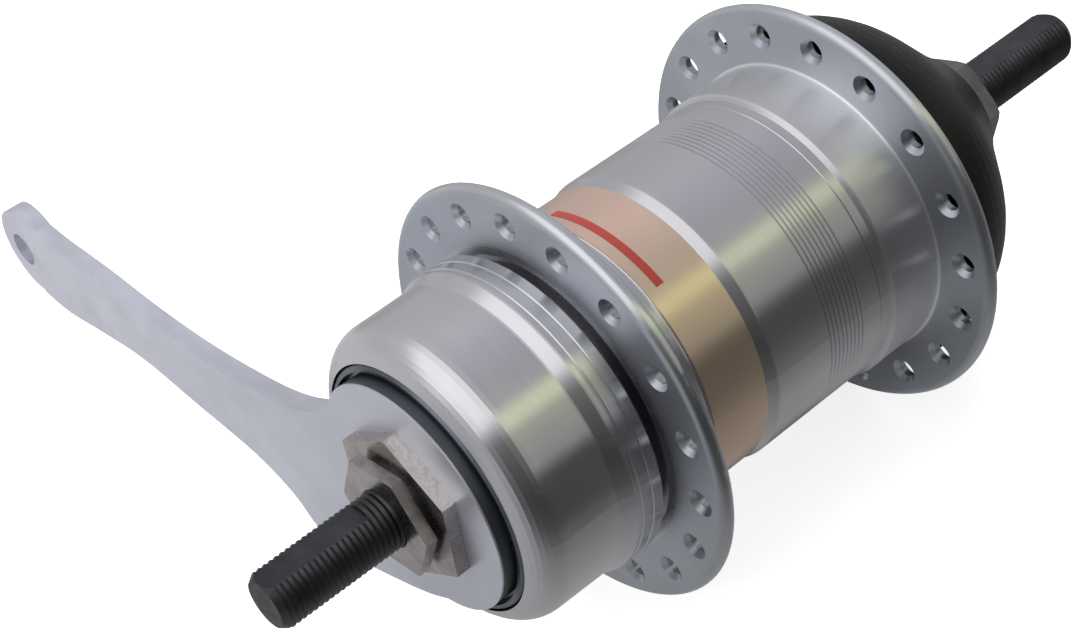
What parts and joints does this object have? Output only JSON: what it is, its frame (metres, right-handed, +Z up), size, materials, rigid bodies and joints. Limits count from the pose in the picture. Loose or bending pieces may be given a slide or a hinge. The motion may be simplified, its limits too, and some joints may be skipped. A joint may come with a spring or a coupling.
{
  "type": "internal gear hub",
  "caption": "Internal gear hub with coaster brake: drilled spoke flanges, round shell, bright brake drum, flat brake arm, solid axle and a bell shaped dust cover.",
  "frame": {"origin": "on the axle's centre line, midway between the outer faces of the two locknuts", "axes": "+Y runs along the axle to the drive side, -X runs along the brake arm to its clip hole, +Z is up"},
  "size_m": [0.1583, 0.175, 0.0716],
  "materials": {
    "axle": "black oxide, fine thread, smooth flats at both ends",
    "nut_nickel": "nickel plated steel, slightly warm, fine scratches",
    "nut_dull": "dull zinc plated steel",
    "dark_washer": "dark plated steel",
    "arm": "matte light grey coated pressed steel",
    "dust_ring": "dark blue-grey coated pressed steel",
    "hardened_steel": "ground hardened steel, oiled",
    "shell": "satin polished shell with a bright flange rim",
    "drum": "bright plated steel drum",
    "label": "thin printed film with a pearl sheen, no wording",
    "stripe": "plain red printed stripe",
    "balls": "polished ball bearing steel",
    "retainer": "pressed retainer ring",
    "gear_steel": "case hardened gear steel",
    "spring_wire": "drawn spring wire",
    "shoe_lining": "sintered brake shoe",
    "cover": "matte black moulded cover"
  },
  "bodies": {
    "axle_group": {"axle": "axle", "sun_gear": "gear_steel", "left_locknut": "nut_nickel", "left_washer": "dark_washer", "brake_arm_nut": "nut_nickel", "brake_arm": "arm", "left_dust_cap": "dust_ring", "left_cone": "hardened_steel", "shoe_carrier": "hardened_steel", "right_cone": "hardened_steel", "right_washer": "nut_dull", "right_locknut": "nut_dull", "shoe_spring": "spring_wire"},
    "shell": {"hub_shell": "shell", "brake_drum": "drum", "left_ball_cup": "hardened_steel", "left_ratchet_ring": "hardened_steel", "right_ratchet_cup": "hardened_steel", "label_band": "label", "label_stripe": "stripe"},
    "left_ball_set": {"left_balls": "balls", "left_ball_retainer": "retainer"},
    "outer_ball_set": {"outer_balls": "balls", "outer_ball_retainer": "retainer"},
    "inner_ball_set": {"inner_balls": "balls", "inner_ball_retainer": "retainer"},
    "cage": {"planet_cage": "gear_steel", "planet_pins": "hardened_steel", "cage_pawl_pins": "hardened_steel", "cage_pawl_springs": "spring_wire"},
    "cage_pawl_a": {"cage_pawl_1": "hardened_steel"},
    "cage_pawl_b": {"cage_pawl_2": "hardened_steel"},
    "planet_a": {"planet_gear_1": "gear_steel"},
    "planet_b": {"planet_gear_2": "gear_steel"},
    "planet_c": {"planet_gear_3": "gear_steel"},
    "planet_d": {"planet_gear_4": "gear_steel"},
    "ring": {"ring_gear": "gear_steel", "ring_pawl_pins": "hardened_steel", "ring_pawl_springs": "spring_wire"},
    "ring_pawl_a": {"ring_pawl_1": "hardened_steel"},
    "ring_pawl_b": {"ring_pawl_2": "hardened_steel"},
    "driver": {"driver": "hardened_steel", "driver_dust_cap": "nut_dull", "clutch_spring": "spring_wire"},
    "clutch": {"clutch": "hardened_steel"},
    "key": {"axle_key": "hardened_steel"},
    "brake_cam": {"brake_cam": "hardened_steel"},
    "shoe_a": {"brake_shoe_1": "shoe_lining", "brake_roller_1": "hardened_steel"},
    "shoe_b": {"brake_shoe_2": "shoe_lining", "brake_roller_2": "hardened_steel"},
    "shoe_c": {"brake_shoe_3": "shoe_lining", "brake_roller_3": "hardened_steel"},
    "cover": {"dust_cover": "cover"}
  },
  "joints": [
    {"name": "shell_spin", "type": "hinge", "parent": "axle_group", "child": "shell", "pos_m": [0, 0, 0], "axis": [0, 1, 0], "continuous": true},
    {"name": "driver_spin", "type": "hinge", "parent": "axle_group", "child": "driver", "pos_m": [0, 0.03, 0], "axis": [0, 1, 0], "continuous": true},
    {"name": "ring_spin", "type": "hinge", "parent": "axle_group", "child": "ring", "pos_m": [0, 0.01, 0], "axis": [0, 1, 0], "continuous": true},
    {"name": "cage_spin", "type": "hinge", "parent": "axle_group", "child": "cage", "pos_m": [0, -0.01, 0], "axis": [0, 1, 0], "continuous": true},
    {"name": "planet_a_spin", "type": "hinge", "parent": "cage", "child": "planet_a", "pos_m": [0.01275, 0, 0], "axis": [0, 1, 0], "continuous": true},
    {"name": "planet_b_spin", "type": "hinge", "parent": "cage", "child": "planet_b", "pos_m": [0, 0, -0.01275], "axis": [0, 1, 0], "continuous": true},
    {"name": "planet_c_spin", "type": "hinge", "parent": "cage", "child": "planet_c", "pos_m": [-0.01275, 0, 0], "axis": [0, 1, 0], "continuous": true},
    {"name": "planet_d_spin", "type": "hinge", "parent": "cage", "child": "planet_d", "pos_m": [0, 0, 0.01275], "axis": [0, 1, 0], "continuous": true},
    {"name": "left_ball_set_spin", "type": "hinge", "parent": "axle_group", "child": "left_ball_set", "pos_m": [0, -0.0495, 0], "axis": [0, 1, 0], "continuous": true},
    {"name": "outer_ball_set_spin", "type": "hinge", "parent": "axle_group", "child": "outer_ball_set", "pos_m": [0, 0.03, 0], "axis": [0, 1, 0], "continuous": true},
    {"name": "inner_ball_set_spin", "type": "hinge", "parent": "axle_group", "child": "inner_ball_set", "pos_m": [0, 0.047, 0], "axis": [0, 1, 0], "continuous": true},
    {"name": "cage_pawl_a_lift", "type": "hinge", "parent": "cage", "child": "cage_pawl_a", "pos_m": [0.015, -0.0232, 0], "axis": [0, 1, 0], "range_deg": [0, 22]},
    {"name": "cage_pawl_b_lift", "type": "hinge", "parent": "cage", "child": "cage_pawl_b", "pos_m": [-0.015, -0.0232, 0], "axis": [0, 1, 0], "range_deg": [0, 22]},
    {"name": "ring_pawl_a_lift", "type": "hinge", "parent": "ring", "child": "ring_pawl_a", "pos_m": [0.015, 0.0174, 0], "axis": [0, 1, 0], "range_deg": [0, 22]},
    {"name": "ring_pawl_b_lift", "type": "hinge", "parent": "ring", "child": "ring_pawl_b", "pos_m": [-0.015, 0.0174, 0], "axis": [0, 1, 0], "range_deg": [0, 22]},
    {"name": "clutch_slide", "type": "slide", "parent": "driver", "child": "clutch", "axis": [0, 1, 0], "range_m": [0, 0.003], "deforming": ["clutch_spring"]},
    {"name": "key_slide", "type": "slide", "parent": "axle_group", "child": "key", "axis": [0, 1, 0], "range_m": [0, 0.003]},
    {"name": "brake_cam_turn", "type": "hinge", "parent": "axle_group", "child": "brake_cam", "pos_m": [0, -0.0388, 0], "axis": [0, 1, 0], "range_deg": [0, 15]},
    {"name": "shoe_a_slide", "type": "slide", "parent": "axle_group", "child": "shoe_a", "axis": [1, 0, 0], "range_m": [0, 0.0005], "deforming": ["shoe_spring"]},
    {"name": "shoe_b_slide", "type": "slide", "parent": "axle_group", "child": "shoe_b", "axis": [-0.5, 0, -0.866], "range_m": [0, 0.0005]},
    {"name": "shoe_c_slide", "type": "slide", "parent": "axle_group", "child": "shoe_c", "axis": [-0.5, 0, 0.866], "range_m": [0, 0.0005]},
    {"name": "cover_pull", "type": "slide", "parent": "axle_group", "child": "cover", "axis": [0, 1, 0], "range_m": [0, 0.04]}
  ],
  "couplings": [
    {"joint": "ring_spin", "follows": "driver_spin", "ratio": 1},
    {"joint": "cage_spin", "follows": "driver_spin", "ratio": 0.73333},
    {"joint": "inner_ball_set_spin", "follows": "driver_spin", "ratio": 0.608},
    {"joint": "planet_a_spin", "follows": "driver_spin", "ratio": 0.8381},
    {"joint": "planet_b_spin", "follows": "driver_spin", "ratio": 0.8381},
    {"joint": "planet_c_spin", "follows": "driver_spin", "ratio": 0.8381},
    {"joint": "planet_d_spin", "follows": "driver_spin", "ratio": 0.8381},
    {"joint": "left_ball_set_spin", "follows": "shell_spin", "ratio": 0.583},
    {"joint": "outer_ball_set_spin", "follows": "shell_spin", "ratio": 0.535},
    {"joint": "key_slide", "follows": "clutch_slide", "ratio": 1},
    {"joint": "brake_cam_turn", "follows": "shoe_a_slide", "rad_per_m": 523.59},
    {"joint": "shoe_b_slide", "follows": "shoe_a_slide", "ratio": 1},
    {"joint": "shoe_c_slide", "follows": "shoe_a_slide", "ratio": 1}
  ]
}
